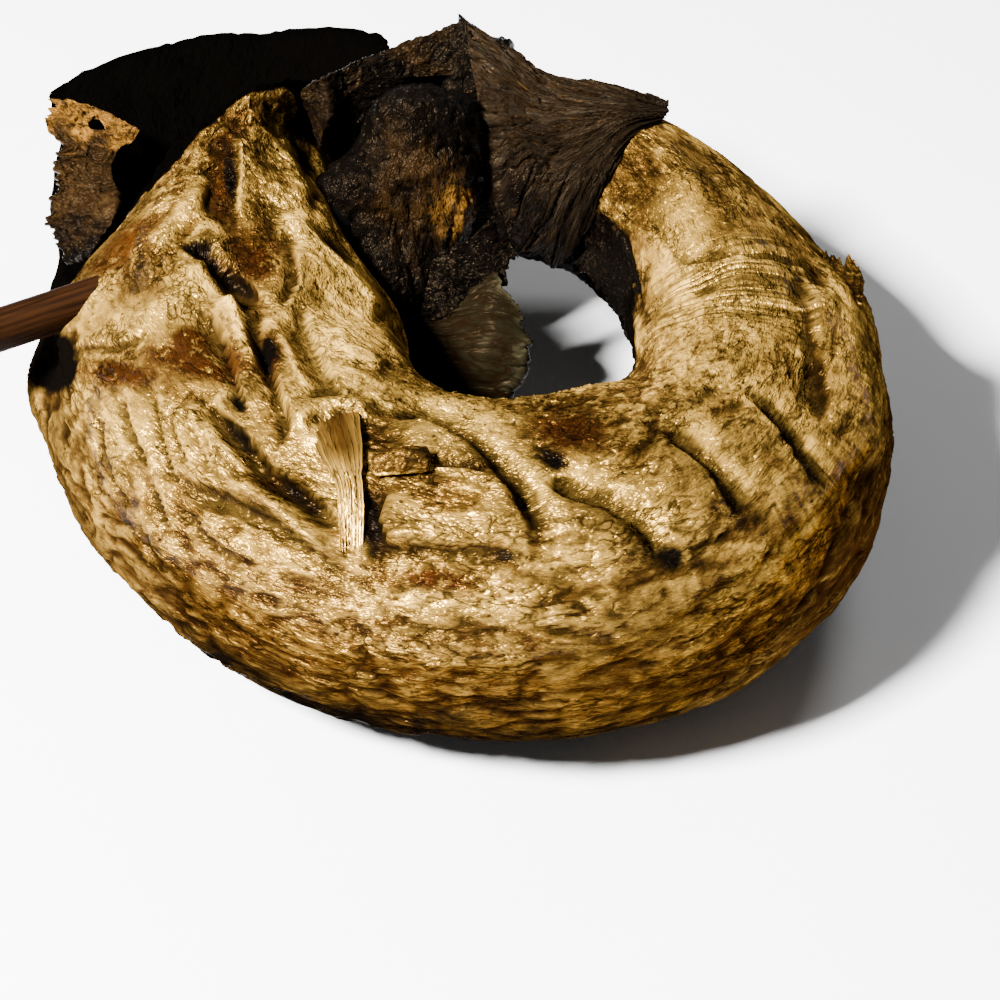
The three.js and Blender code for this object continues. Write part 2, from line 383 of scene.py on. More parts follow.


# Smoked skin: golden where it faced the smoke, red-brown where fat dried on it, black where it burnt; painted shade
# darkens its hollows and painted highlights lighten its ridges
def makeSkin(name, values):
    material, n, shader = newMaterial(name)
    place = n.add("ShaderNodeAttribute", attribute_name="fishPlace").outputs["Vector"]

    def field(key):
        return n.add("ShaderNodeAttribute", attribute_name=key).outputs["Fac"]

    def noise(factor, detail, rough=0.55, bend=0.0):
        return n.noise(place, factor, detail, rough, bend)

    warped = n.warped(place, 0.3, 1.0, 5)
    plates = n.timesPlus(n.plates(warped, (0.45, 0.75, 0.75)), 0.5, n.plates(warped, (0.2, 0.34, 0.34)))
    broad = n.folds(noise((0.17, 0.3, 0.3), 1.6, 0.5, 0.7))
    narrow = n.folds(noise((0.42, 0.75, 0.75), 1.6, 0.5, 0.7))
    thin = n.folds(noise((0.9, 1.6, 1.6), 1.2, 0.5))
    stripes = n.folds(noise((0.46, 0.03, 0.045), 1.0, 0.5, 0.3))
    patchy = n.ease(noise((0.09, 0.14, 0.14), 3.0), 0.36, 0.6)
    even, striate = field("even"), field("striate")
    calm = n.timesPlus(even, -0.5, 1.0)

    blotches = n.ease(noise((0.06, 0.1, 0.1), 4.0, 0.65, 0.6), 0.34, 0.66)
    blotches = n.timesPlus(n.minus(blotches, 0.6), calm, 0.6)
    grain = n.times(n.ease(noise((0.7, 1.1, 1.1), 3.0, 0.7), 0.46, 0.68), 0.7)
    ridgeHighlight = n.ease(noise((0.1, 0.14, 0.14), 2.0, 0.65), 0.46, 0.62)
    ridgeHighlight = n.times(n.ease(broad, 0.25, 0.6, 0.0, 0.35), ridgeHighlight)
    crumbs = n.ease(noise((0.3, 0.45, 0.45), 3.0, 0.7), 0.32, 0.58)
    creamAndHighlight = n.times(field("paleAndHighlight"), n.most(crumbs, even))
    sticky = n.ease(noise((0.26, 0.36, 0.36), 4.0, 0.75, 0.4), 0.27, 0.52, 0.1, 0.95)
    dots = {"Vector": place, "Scale": 0.45, "Randomness": 1.0}
    specks = n.ease(n.add("ShaderNodeTexVoronoi", dots).outputs["Distance"], 0.1, 0.2, 1.0, 0.0)
    specks = n.times(specks, n.ease(noise((0.1, 0.13, 0.13), 1.0), 0.48, 0.6))
    taut = n.times(n.ease(even, 0.3, 0.6), n.ease(even, 0.78, 0.9, 1.0, 0.0))
    cracks = n.cellEdges(warped, (0.2, 0.34, 0.34))
    # Dark lines: cracks of the skin, and painted shade along the valleys of the bump's folds and stripes
    lines = None
    for fold, wide, dark, where in (
        (broad, 0.1, 1.0, patchy), (cracks, 0.08, 1.0, n.times(patchy, taut)),
        (narrow, 0.16, 0.85, patchy), (stripes, 0.22, 0.95, striate),
    ):
        line = n.times(n.ease(fold, 0.0, wide, dark, 0.0), where)
        lines = n.most(lines, line) if lines else line
    ashes = n.timesPlus(noise((0.12, 0.16, 0.16), 3.0, 0.68), 0.8, -0.4)

    color = n.mix(blotches, values["gold"], values["light"])
    # The grain colour also darkens the bump's valleys as painted shade, and the cream colour lightens its ridges as
    # painted highlight
    for key, cover in (
        ("grain", n.times(grain, calm)),
        ("grain", n.times(n.ease(broad, 0.0, 0.3, 0.5, 0.0), calm)),
        ("grain", n.times(n.ease(narrow, 0.0, 0.3, 0.45, 0.0), calm)),
        ("creamAndHighlight", n.most(creamAndHighlight, n.times(ridgeHighlight, calm))),
        ("stain", n.times(field("stain"), sticky)),
        ("paintedShade", n.times(field("paintedShade"), 0.75)),
        # The crease colour paints dark specks and cracks, and painted shade in the hollows
        ("crease", n.times(specks, 0.85)),
        ("crease", n.times(n.most(lines, field("crease")), 0.92)),
        ("burnt", n.ease(n.calc("ADD", field("charAndShade"), ashes), 0.3, 0.7)),
    ):
        color = n.mix(cover, color, values[key])
    n.feed(shader["Base Color"], color)
    n.feed(shader["Roughness"], n.timesPlus(noise((0.25, 0.4, 0.4), 1.0), 0.35, values["gloss"]))
    shader["IOR"].default_value = 1.45
    shader["Metallic"].default_value = values["metal"]
    shader["Specular Tint"].default_value = (*values["tint"], 1)
    shader["Specular IOR Level"].default_value = values["shine"]

    height = n.timesPlus(narrow, 0.35, n.times(broad, 0.6))
    for relief, high in ((plates, 1.2), (thin, 0.22), (n.times(stripes, striate), 1.0)):
        height = n.timesPlus(relief, high, height)
    raised = {"Strength": 1.0, "Distance": values["rough"], "Height": height}
    n.feed(shader["Normal"], n.add("ShaderNodeBump", raised).outputs[0])
    return material


# Skin colours: the cream one also paints highlights, a dark brown one paints shade, and the near-black crease one
# paints cracks, specks and shade in hollows
skinLook = {
    "gold": (0.07, 0.0322, 0.0052), "light": (0.168, 0.0815, 0.0127), "grain": (0.011, 0.0048, 0.0011),
    "creamAndHighlight": (0.74, 0.425, 0.075), "stain": (0.034, 0.0104, 0.0018), "paintedShade": (0.016, 0.0079, 0.0018),
    "crease": (0.003, 0.0013, 0.0004), "burnt": (0.0022, 0.0014, 0.0009), "tint": (0.25, 0.16, 0.08),
    "gloss": 0.16, "shine": 0.12, "rough": 0.0011, "metal": 0.6,
}
burntLook = {
    **skinLook, "gold": (0.012, 0.0058, 0.0018), "light": (0.03, 0.0155, 0.005), "burnt": (0.0011, 0.0008, 0.0006),
    "creamAndHighlight": (0.2, 0.088, 0.012), "shine": 0.14, "metal": 0.0,
}
finLook = {
    **burntLook, "gold": (0.0026, 0.0022, 0.0009), "light": (0.006, 0.005, 0.0022), "creamAndHighlight": (0.03, 0.026, 0.013),
    "grain": (0.003, 0.0022, 0.0009), "shine": 0.05, "rough": 0.0006,
}
shadyLook = {**skinLook, "shine": 0.0, "tint": (0.1, 0.06, 0.03), "rough": 0.0009}
dullLook = {
    **skinLook, "gold": (0.055, 0.0265, 0.0052), "light": (0.132, 0.067, 0.0125), "burnt": (0.001, 0.0007, 0.0005),
    "shine": 0.0, "metal": 0.0, "rough": 0.0009,
}
# Near-black inside of the mouth: char, darkened further as painted shade
mouthShadeLook = {**burntLook, "burnt": (0.0005, 0.0004, 0.0003), "shine": 0.0}
webLook = {**burntLook, "gold": (0.012, 0.009, 0.0056), "light": (0.028, 0.0215, 0.0135)}
goldenSkin = makeSkin("goldenSkin", skinLook)
shadySkin = makeSkin("shadySkin", shadyLook)
dullSkin = makeSkin("dullSkin", dullLook)
burntSkin = makeSkin("burntSkin", burntLook)
mouthShadeSkin = makeSkin("mouthShadeSkin", mouthShadeLook)
finSkin = makeSkin("finSkin", finLook)
webSkin = makeSkin("webSkin", webLook)

# Body: sections along a curled backbone, from the throat out over the lips and round to the tail.
# Section columns: distance from the snout, half width, half height, height of the middle, lean of the
# mouth, narrowing of the top, pull of the mouth's corner, hollow of the inner cheek.
body = {
    "spine": [(-58, 100), (-60, 60), (-56, 17), (-45, -25), (-19, -53), (15, -58), (43, -41), (54, -8),
              (46, 36), (27, 58), (6, 61), (-6, 50), (-9, 38)],
    "sections": [
        (72, 0, 0, 37, 0, 0, 0, 0), (64, 16, 5, 39, 8, 0.2, 0.1, 2), (50, 28, 7, 42, 16, 0.3, 0.4, 5),
        (34, 33, 7, 48, 24, 0.35, 0.8, 4), (26, 35, 8, 50, 29, 0.36, 1, 3), (29, 37, 20, 41, 27, 0.36, 1, 4),
        (44, 36, 25, 35, 18, 0.28, 0.75, 8), (66, 35, 27, 31, 7, 0.16, 0.3, 4), (90, 37, 27, 28, 0, 0.08, 0, 0),
        (116, 37, 28, 28, 0, 0.05, 0, 0), (142, 36, 29, 29, 0, 0, 0, 0), (166, 35, 30, 29.5, 0, 0, 0, 0),
        (190, 35, 30, 29.5, 0, 0, 0, 0), (214, 35, 30, 29, 0, 0, 0, 0), (238, 32, 29, 28.5, 0, 0, 0, 0),
        (262, 29, 28, 28, 0, 0, 0, 0), (290, 24, 27, 27, 0, 0, 0, 0), (322, 18, 24, 28, 0, 0, 0, 0),
        (350, 15, 22, 32, 0, 0, 0, 0), (370, 14, 21, 36, 0, 0, 0, 0), (384, 12, 18, 37, 0, 0, 0, 0),
        (392, 0, 0, 36, 0, 0, 0, 0),
    ],
    "lipSection": 5,
    "rows": 400,
    "columns": 240,
    "skinRadius": 33,  # of the straightened fish
    "burntFrom": 342,
    "lumps": [  # distance, angle, reach along, reach round, height
        (72, 98, 14, 6, -3), (105, 99, 9, 7, -4), (100, 121, 7, 10, 2.5), (152, 104, 8, 10, 2),
        (104, 14, 10, 12, -4), (184, 56, 13, 12, 2.5), (268, 60, 26, 6, -1.2), (326, 20, 22, 22, 2),
    ],
    "skullRim": [  # place in the picture, reach, shift in the picture
        (92, 95, 40, -36, 0), (118, 68, 40, -18, 8), (225, 39, 40, 0, -6), (300, 52, 40, 6, -18),
        (345, 60, 40, 44, -18), (48, 262, 36, 26, 0),
    ],
    "outline": [
        (860, 300, 48, 14, -2), (616, 362, 30, 16, 4), (40, 400, 40, -8, 0), (322, 195, 45, 12, 0),
        (374, 325, 45, 12, 0),
    ],
}
bodySpine = curveThrough(body["spine"])
bodyTable = np.array(body["sections"], float)


def sectionValues(place):
    return between(bodyTable, place)


# Points of the skin: place counts sections, degrees run round a section from the outer side over the top
def skinPoints(place, degrees):
    at, wide, tall, lift, lean, pinch, gape, tuck = (v[:, None] for v in sectionValues(place).T)
    centre, ahead = alongCurve(bodySpine, np.maximum(at[:, 0], 0))
    centre, ahead = centre[:, None], ahead[:, None]
    outward = np.cross(ahead, upward)
    turn = np.radians(degrees)[None, :]
    c, s = np.cos(turn), np.sin(turn)
    degrees = degrees[None, :]
    corner = gape * bump(degrees - 10, np.where(degrees < 10, 35, 58))
    rise = 8 * gape * bump(degrees - 135, 38) - 20 * gape * bump(degrees - 20, 52)
    hollow = tuck * bump(degrees - 165, 50) - 6 * gape * bump(degrees - 10, 25)
    width = np.maximum(0, wide) * (1 - pinch * np.maximum(0, s))
    height = np.maximum(0, tall)
    swell = sum(h * bump(at - a, x) * bump(degrees - d, r) for a, d, x, r, h in body["lumps"])
    swell = np.where(place[:, None] > body["lipSection"], swell, 0)
    sideways = ((width + swell) * c + hollow)[..., None] * outward
    lifted = (lift + (height + swell) * s + rise)[..., None] * upward
    return centre + sideways + lifted + (lean * s + 44 * corner)[..., None] * ahead


def spread(values, weights, count):
    total = np.concatenate([[0], np.cumsum((weights[1:] + weights[:-1]) / 2 * np.diff(values))])
    return np.interp(np.linspace(0, total[-1], count), total, values)


def bodyGrid():
    fine = np.linspace(0, len(bodyTable) - 1, 4000)
    guides = skinPoints(fine, np.array([20.0, 90.0, 160.0]))
    steps = np.linalg.norm(np.diff(guides, axis=0), axis=2).mean(1) / np.diff(fine)
    at = sectionValues(fine)[:, 0]
    density = np.where(fine < body["lipSection"] - 0.5, 0.6, np.where(at < 270, 1.0, 0.72))
    place = spread(fine, np.append(steps, steps[-1]) * density, body["rows"])
    ring = np.linspace(-90, 270, 2000)
    weight = 0.45 + 0.55 * ease(-60, -45, ring) * ease(215, 200, ring)
    degrees = spread(ring, weight, body["columns"] + 1)[:-1]
    return place, degrees


def gridNormals(points):
    along = np.gradient(points, axis=0)
    around = np.roll(points, -1, 1) - np.roll(points, 1, 1)
    return unit(np.cross(along, around))


# Distance to a track in the picture, signed distance to its right, and the place along it from 0 to 1
def toTrack(seen, track):
    track = np.array(track, float)
    near = np.full(seen.shape[:-1], 1e9)
    side, place = np.zeros_like(near), np.zeros_like(near)
    lengths = np.linalg.norm(np.diff(track, axis=0), axis=1)
    done = 0.0
    for start, step, length in zip(track[:-1], np.diff(track, axis=0), lengths):
        f = np.clip(((seen - start) @ step) / length**2, 0, 1)
        gap = seen - start - f[..., None] * step
        distance = np.linalg.norm(gap, axis=-1)
        closer = distance < near
        near = np.where(closer, distance, near)
        side = np.where(closer, np.sign(step[0] * gap[..., 1] - step[1] * gap[..., 0]) * distance, side)
        place = np.where(closer, (done + f * length) / lengths.sum(), place)
        done += length
    return near, side, place


def inPatch(seen, x, y, across, tall, turn=0.0):
    c, s = math.cos(math.radians(turn)), math.sin(math.radians(turn))
    dx, dy = seen[..., 0] - x, seen[..., 1] - y
    return np.exp(-((((dx * c + dy * s) / across) ** 2 + ((dy * c - dx * s) / tall) ** 2) ** 1.5))


# Folds that the camera sees. track: where it shows in the picture, walked with the bulge on the right hand;
# deep: depth of the crease; lip: height of the bulge; steep, wide: reach of the bulge's face and of the
# hollow before it, in the picture; dark: how much painted shade lies in it; light: how much painted light lies on
# the hollow's slope
skinFolds = [
    # flank, from the breast to the outer fin
    ([(385, 408), (427, 413), (472, 436), (512, 474), (532, 512), (543, 552)], 2.7, 2.3, 17, 30, 0.9, 1.0),
    ([(543, 468), (570, 490), (606, 503), (639, 525), (664, 562)], 2.8, 2.5, 17, 30, 0.9, 1.0),
    ([(660, 422), (690, 447), (712, 468), (748, 514)], 2.4, 2.2, 16, 28, 0.8, 0.9),
    ([(750, 386), (785, 425), (824, 488)], 1.9, 1.6, 13, 24, 0.7, 0.7),
    # slit beside the breast spine, and the edge of the smooth breast under it
    ([(431, 469), (467, 474), (494, 478), (512, 492), (528, 516)], 1.8, 0.8, 4, 8, 1.0, 0.2),
    ([(516, 545), (485, 553), (440, 548), (400, 548), (364, 556)], 1.8, 1.2, 7, 12, 0.7, 0.3),
    ([(388, 556), (377, 520), (383, 488)], 2.6, 1.0, 8, 12, 1.0, 0.0),
    # gill cover: the long crease, its ridge and the hollow under the fin
    ([(352, 574), (331, 563), (298, 539), (264, 517), (231, 501), (204, 492), (176, 474)],
     2.2, 1.6, 6, 12, 1.0, 0.5),
    ([(340, 528), (300, 492), (262, 468), (240, 446)], 4.2, 0.8, 10, 14, 1.0, 0.0),
    ([(270, 468), (250, 448), (230, 428), (206, 404)], 4.2, 1.2, 8, 10, 1.0, 0.3),
    # folds of the throat
    ([(290, 428), (276, 388), (260, 350), (250, 328)], 2.6, 1.4, 6, 9, 1.0, 0.6),
    ([(248, 420), (232, 372), (216, 334), (196, 308)], 2.2, 1.6, 7, 10, 0.9, 0.8),
    ([(282, 450), (287, 427), (284, 405)], 1.4, 0.5, 3, 5, 1.0, 0.4),
    ([(191, 467), (177, 436), (173, 410)], 2.2, 1.4, 5, 8, 1.0, 0.8),
    ([(176, 482), (166, 455), (160, 425), (155, 396)], 1.8, 1.0, 5, 7, 0.9, 0.7),
    ([(214, 481), (200, 447), (184, 405)], 1.8, 1.4, 6, 8, 0.7, 0.9),
    ([(110, 470), (101, 445), (101, 415)], 1.8, 0.8, 4, 6, 1.0, 0.5),
    ([(150, 470), (130, 430), (120, 393)], 1.7, 1.0, 5, 8, 0.9, 0.7),
    ([(146, 334), (130, 340), (115, 346), (97, 345), (78, 349)], 1.4, 0.6, 4, 6, 1.0, 0.4),
    ([(168, 528), (158, 502), (150, 480)], 1.3, 0.7, 4, 6, 0.9, 0.5),
    ([(128, 508), (116, 482), (108, 462)], 1.3, 0.7, 4, 6, 0.8, 0.5),
    ([(238, 566), (208, 542), (186, 512)], 1.4, 0.9, 5, 8, 0.8, 0.5),
    ([(165, 570), (150, 545), (138, 518)], 1.2, 0.8, 5, 7, 0.8, 0.4),
    ([(222, 470), (212, 452), (204, 430)], 1.4, 0.7, 4, 7, 0.8, 0.5),
    # middle of the throat: the channel, the black crevice, the right rim
    ([(207, 218), (214, 170), (226, 128)], 1.6, 0.4, 6, 14, 0.4, 0.0),
    ([(237, 222), (238, 175), (234, 130)], 1.6, 1.0, 4, 12, 0.5, 0.0),
    ([(260, 300), (238, 284), (222, 268), (208, 251), (182, 249)], 3.0, 1.2, 8, 10, 1.0, 0.0),
    ([(282, 306), (294, 281), (290, 248)], 2.0, 1.0, 5, 9, 0.9, 0.3),
    ([(345, 402), (322, 366), (306, 330), (298, 300)], 1.8, 1.0, 6, 10, 0.9, 0.3),
    # belly
    ([(454, 634), (414, 626), (393, 612)], 1.0, 0.8, 5, 7, 0.6, 0.3),
    ([(625, 640), (580, 634), (540, 627)], 1.0, 0.7, 5, 7, 0.6, 0.2),
    # right flank: edge of the striped skin, base of the outer fin
    ([(678, 262), (733, 255), (802, 262)], 1.4, 0.9, 5, 8, 0.6, 0.4),
    ([(826, 428), (818, 386), (806, 320), (796, 264)], 1.5, 1.0, 8, 12, 0.4, 0.3),
]
# Ridges between the folds, with painted highlights on them. track as above, height, reach in the picture, how much
# painted highlight
skinRidges = [
    ([(238, 220), (240, 175), (236, 132)], 1.0, 5, 0.6),
    ([(245, 127), (281, 146), (294, 178), (313, 200)], 1.4, 8, 0.6),
    ([(296, 436), (310, 412), (342, 402), (376, 412)], 1.7, 10, 0.7),
    ([(268, 228), (294, 228), (319, 254), (346, 276), (386, 317)], 1.8, 10, 1.0),
    ([(310, 134), (320, 175), (340, 216), (358, 256), (384, 300)], 1.0, 8, 0.7),
    ([(181, 405), (192, 440), (208, 489)], 1.4, 9, 0.9), ([(214, 438), (240, 462), (264, 474)], 1.2, 6, 1.0),
    ([(232, 478), (285, 514), (332, 550)], 2.6, 11, 1.0), ([(275, 390), (300, 420), (318, 455)], 1.2, 10, 0.6),
    ([(120, 330), (170, 300), (205, 285)], 1.0, 12, 0.6),
    ([(262, 318), (280, 344), (296, 376), (312, 406)], 1.6, 9, 0.9),
    ([(222, 292), (240, 334), (258, 382)], 2.0, 9, 1.0), ([(150, 250), (190, 212), (212, 170)], 1.0, 9, 0.4),
    ([(330, 330), (352, 352), (384, 372)], 1.0, 12, 0.6),
    ([(806, 280), (842, 335), (862, 400), (866, 480)], 2.4, 24, 0.2),
]
# Spots, each its place, reach across, reach down and turn in the picture
stains = [
    (222, 180, 14, 60, 4), (252, 262, 34, 28, 30), (112, 250, 56, 17, -36), (200, 362, 84, 26, 12),
    (118, 372, 50, 16, 5), (268, 362, 20, 28), (568, 432, 42, 26), (190, 340, 30, 20), (262, 478, 20, 8, 35),
    (440, 580, 50, 14, 5),
]
# Black spots: burnt spots, and painted shadow in the throat's crevice and channel, under the gill flap and beside
# the pectoral fin's tip
burntAndShadowSpots = [
    (56, 360, 34, 28), (640, 322, 12, 46, -12), (550, 458, 26, 16, 15), (671, 556, 18, 14, 20), (508, 556, 22, 9),
    (236, 281, 26, 7, 38), (198, 249, 22, 8), (216, 264, 10, 18, -35), (228, 165, 9, 42, -5),
    (268, 358, 12, 18, -20), (236, 432, 10, 26, -45), (300, 496, 10, 36, -48), (370, 524, 14, 40, -6),
    (238, 404, 9, 20, -35),
]
# Painted light: patches lightened on the skin
paintedLightSpots = [
    (200, 445, 24, 34, -20), (330, 480, 20, 50), (285, 512, 50, 12, 33), (238, 486, 30, 12, 33), (282, 128, 22, 36),
    (684, 260, 28, 80), (80, 290, 24, 26), (640, 530, 40, 14, 35), (420, 600, 40, 20), (740, 300, 50, 60),
    (370, 390, 36, 22), (160, 330, 50, 30), (440, 440, 40, 14, 20), (620, 510, 30, 14, 25), (300, 230, 14, 60, -35),
    (340, 290, 16, 60, -35), (335, 345, 40, 56, -35), (200, 285, 30, 18), (725, 375, 56, 22, 20),
    (125, 430, 40, 34), (320, 440, 18, 26), (490, 600, 36, 22), (560, 562, 22, 18),
]
# Painted shade: patches darkened on the skin
paintedShadeSpots = [
    (760, 215, 26, 60, -35), (716, 168, 28, 56, -42), (386, 512, 12, 36, -8), (745, 450, 30, 20, 40),
    (680, 478, 30, 22, 30), (622, 490, 40, 20, 25), (590, 522, 26, 22, 30), (520, 445, 24, 22), (374, 536, 20, 34),
    (660, 615, 60, 34, -15), (585, 655, 50, 20, -5), (165, 575, 30, 70, -35), (205, 640, 40, 20, 30),
    (280, 440, 12, 20), (245, 400, 12, 22), (482, 485, 26, 10, 15), (345, 588, 50, 14, 5),
]
# Edge of the lower jaw in the picture; what shows beyond it is the mouth, black with char and painted shade
jawRim = [
    (40, 300), (66, 270), (99, 246), (129, 211), (172, 170), (207, 127), (245, 97), (291, 86), (346, 64), (420, 40),
]


# Painted shade in the hollows of the finished relief, and painted highlights on its ridges
def shade(piece, shape):
    rows, columns = shape
    grid, normals = (values[1:-1].reshape(rows - 2, columns, 3) for values in meshPoints(piece))
    depth = np.zeros((rows - 2, columns))
    for reach, gain in ((2, 1.6), (5, 0.7)):
        level = grid
        for _ in range(2):
            padded = np.pad(level, ((reach, reach), (0, 0), (0, 0)), "edge")
            level = sum(padded[k : k + rows - 2] for k in range(2 * reach + 1)) / (2 * reach + 1)
            level = sum(np.roll(level, k, 1) for k in range(-reach, reach + 1)) / (2 * reach + 1)
        depth += gain * ((level - grid) * normals).sum(-1)
    calm = 1 - 0.45 * readField(piece, "even")[1:-1].reshape(depth.shape)
    hollowShade, ridgeHighlight = np.clip(depth * 2.6 * calm, 0, 0.9), np.clip(-depth * 1.2 - 0.1, 0, 0.4)
    for key, change in (("crease", hollowShade), ("paleAndHighlight", ridgeHighlight)):
        values = readField(piece, key)
        values[1:-1] = np.maximum(values[1:-1], change.ravel())
        piece.data.attributes[key].data.foreach_set("value", values)


# Height of the folds and ridges, painted shade in them and on their bulges, how much is a slope with painted light,
# how much painted highlight
def foldSkin(seen, shown):
    height, crease, paintedShade, slope = np.zeros((4, *shown.shape))
    for track, deep, lip, steep, wide, dark, light in skinFolds:
        near, side, along = toTrack(seen, track)
        taper = shown * (ease(0, 0.2, along) * ease(1, 0.8, along) * 0.9 + 0.1)
        rise = ease(0, steep, side)
        bulge = lip * rise * bump(np.maximum(side - steep, 0), 3 * steep) - 0.7 * deep * (1 - rise)
        hollow = -0.7 * deep * bump(side, wide * (0.55 if steep > 12 else 1))
        reach = bump(np.maximum(near - np.abs(side), 0), steep)
        # painted shade on the bulge's face beside the crease
        shady = (0.45 + 0.035 * steep) * dark * taper * reach * bump(side - 0.8 * steep, 1.3 * steep + 2)
        lit = light * taper * reach * np.where(side < 0, bump(side + 0.6 * wide, 0.7 * wide), 0)
        height += taper * reach * np.where(side > 0, bulge, hollow)
        crease = np.maximum(crease, dark * taper * bump(near, 1.9 + 0.1 * steep))
        paintedShade, slope = np.maximum(paintedShade, shady), np.maximum(slope, lit)
    paleAndHighlight = 0.85 * slope
    for track, tall, reach, light in skinRidges:
        near, _, along = toTrack(seen, track)
        taper = shown * ease(0, 0.15, along) * ease(1, 0.85, along)
        height += tall * taper * bump(near, reach)
        paleAndHighlight = np.maximum(paleAndHighlight, light * taper * bump(near, 0.8 * reach))
    return height, crease, paintedShade, slope, paleAndHighlight


# How burnt the skin is, with painted shadow under the stick and darker towards the underside
def charAndShadeAt(at, around, inside, seen, facing):
    x, y = seen[..., 0], seen[..., 1]
    charAndShade = np.where(at < 80, ease(4, -6, toTrack(seen, jawRim)[1]), 0)
    charAndShade += ease(62, 52, at) * ease(0.3, 0.0, np.sin(np.radians(around))) * ease(292, 312, x)
    charAndShade += 0.75 * ease(336, 354, at) * ease(-40, 20, around)
    charAndShade += 0.8 * ease(132, 165, around) * ease(215, 250, at)
    # Painted shadow: black under the stick, on the head's left
    charAndShade = np.maximum(charAndShade, ease(75, 60, at) * ease(84, 70, x) * ease(200, 225, y))
    charAndShade = np.maximum(charAndShade, inPatch(seen, 50, 362, 32, 36) * ease(70, 50, around))
    charAndShade += 0.45 * ease(165, 205, around) * ~inside
    charAndShade = np.maximum(charAndShade, np.maximum(ease(300, 342, at), ease(66, 48, at)) * ease(0.05, -0.2, facing))
    charAndShade = np.where(inside, 0.84, charAndShade)
    # Darker towards the underside
    flank = 1 - 0.5 * ease(185, 215, at) * ease(270, 240, at)
    return charAndShade + (0.42 * ease(24, -10, around) * ease(110, 150, at) * flank + 0.3 * ease(0, -40, around))


def buildBody():
    place, degrees = bodyGrid()
    points = skinPoints(place, degrees)
    at = np.repeat(sectionValues(place)[:, :1], len(degrees), 1)
    inside = np.repeat((place < body["lipSection"] - 0.4)[:, None], len(degrees), 1)
    around = np.repeat(degrees[None, :], len(place), 0)
    turn = np.radians(around)
    normals = gridNormals(points)
    seen, facing = seenAt(points, normals)
    shown = ease(0.05, 0.35, facing) * ~inside
    _, right, over, scale = viewAxes()
    skull = ease(75, 50, at) * ease(0.3, -0.2, np.sin(turn))
    for key, where in (("skullRim", skull), ("outline", ~inside)):
        for x, y, reach, dx, dy in body[key]:
            pull = where * bump(np.hypot(seen[..., 0] - x, seen[..., 1] - y), reach)
            points = points + pull[..., None] * (dx * right - dy * over) * view["distance"] / scale
    seen, _ = seenAt(points, normals)
    height, crease, paintedShade, slope, paleAndHighlight = foldSkin(seen, shown)
    points = points + height[..., None] * normals
    _, facing = seenAt(points, gridNormals(points))

    charAndShade = charAndShadeAt(at, around, inside, seen, facing)
    # Stain is laid heavier towards the underside
    stain = 0.7 * ease(44, 2, around) * ease(100, 150, at) + 0.45 * ease(70, 20, around) * ease(120, 90, at)
    stain = stain + 0.5 * ease(60, 45, at) + 0.35 * ease(215, 240, at) * ease(310, 290, at) * ease(52, 30, around)
    # Painted shade: darker towards the underside, and where the head's left side turns away from the camera
    low = 0.6 * ease(36, 4, around) * ease(110, 150, at) + 0.15 * ease(60, 30, around) * ease(215, 250, at)
    turnedAwayShade = ease(0.65, 0.2, facing) * ease(160, 130, at) * ease(230, 180, seen[..., 0])
    paintedShade = np.maximum.reduce([paintedShade, low, 1.1 * turnedAwayShade * ~inside])
    for field, gain, spots in (
        (charAndShade, 0.7, burntAndShadowSpots), (stain, 1.2, stains), (paintedShade, 0.8, paintedShadeSpots), (paleAndHighlight, 0.8, paintedLightSpots),
    ):
        for spot in spots:
            np.maximum(field, gain * shown * inPatch(seen, *spot), out=field)
    radius = body["skinRadius"]
    fields = {
        "fishPlace": np.stack([at, radius * np.cos(turn), radius * np.sin(turn)], -1),
        "charAndShade": np.clip(charAndShade, 0, 1), "stain": stain, "paleAndHighlight": paleAndHighlight, "paintedShade": paintedShade, "crease": crease,
        "lengthwise": np.clip(ease(40, 5, around) + ease(296, 330, at) + ease(170, 130, at), 0, 1),
        "striate": np.maximum(
            ease(252, 262, at) * ease(300, 285, at) * ease(58, 72, around) * ease(150, 125, around),
            0.7 * ease(215, 235, at) * ease(310, 290, at) * ease(4, 16, around) * ease(58, 46, around),
        ),
        "crumbly": np.clip(0.4 * ease(310, 350, at) + inside * 0.3, 0, 1),
        "even": np.maximum.reduce([
            shown * inPatch(seen, 450, 515, 75, 26, 6),
            0.8 * shown * inPatch(seen, 440, 440, 60, 16, 18),
            0.8 * slope,
            0.65 * ease(240, 275, at) * ease(30, 50, around) * ease(170, 150, around),
            0.75 * ease(175, 140, at) * ease(40, 80, at) * ease(25, 50, around) * ease(180, 160, around),
        ]),
    }
    flat, faces = closedTube(points)
    piece = meshObject("fishSkin", flat, faces, {key: closedRows(values) for key, values in fields.items()})
    runGroup(piece, skinRelief, {})
    shade(piece, at.shape)
    dress(piece, "fish", goldenSkin)
    for material in (shadySkin, burntSkin, mouthShadeSkin, dullSkin):
        piece.data.materials.append(material)
    golden, shady, burnt, mouth, dull = range(5)
    kind = np.where((around < 16 + 20 * ease(190, 230, at)) | (around > 190), shady, golden)
    kind = np.where(facing < np.where(at < 150, 0.55, 0.5 * ease(200, 230, at)), dull, kind)
    throat = inside | (at < 50) & (charAndShade > 0.4) | (at < 75) & (seen[..., 0] < 84)
    kind = np.where(at > body["burntFrom"], burnt, np.where(throat, mouth, kind))[2:-1]
    kinds = np.zeros(len(piece.data.polygons), np.int32)
    kinds[: kind.size] = kind.ravel()
    piece.data.polygons.foreach_set("material_index", kinds)
    print("body", len(piece.data.vertices), "points")


buildBody()

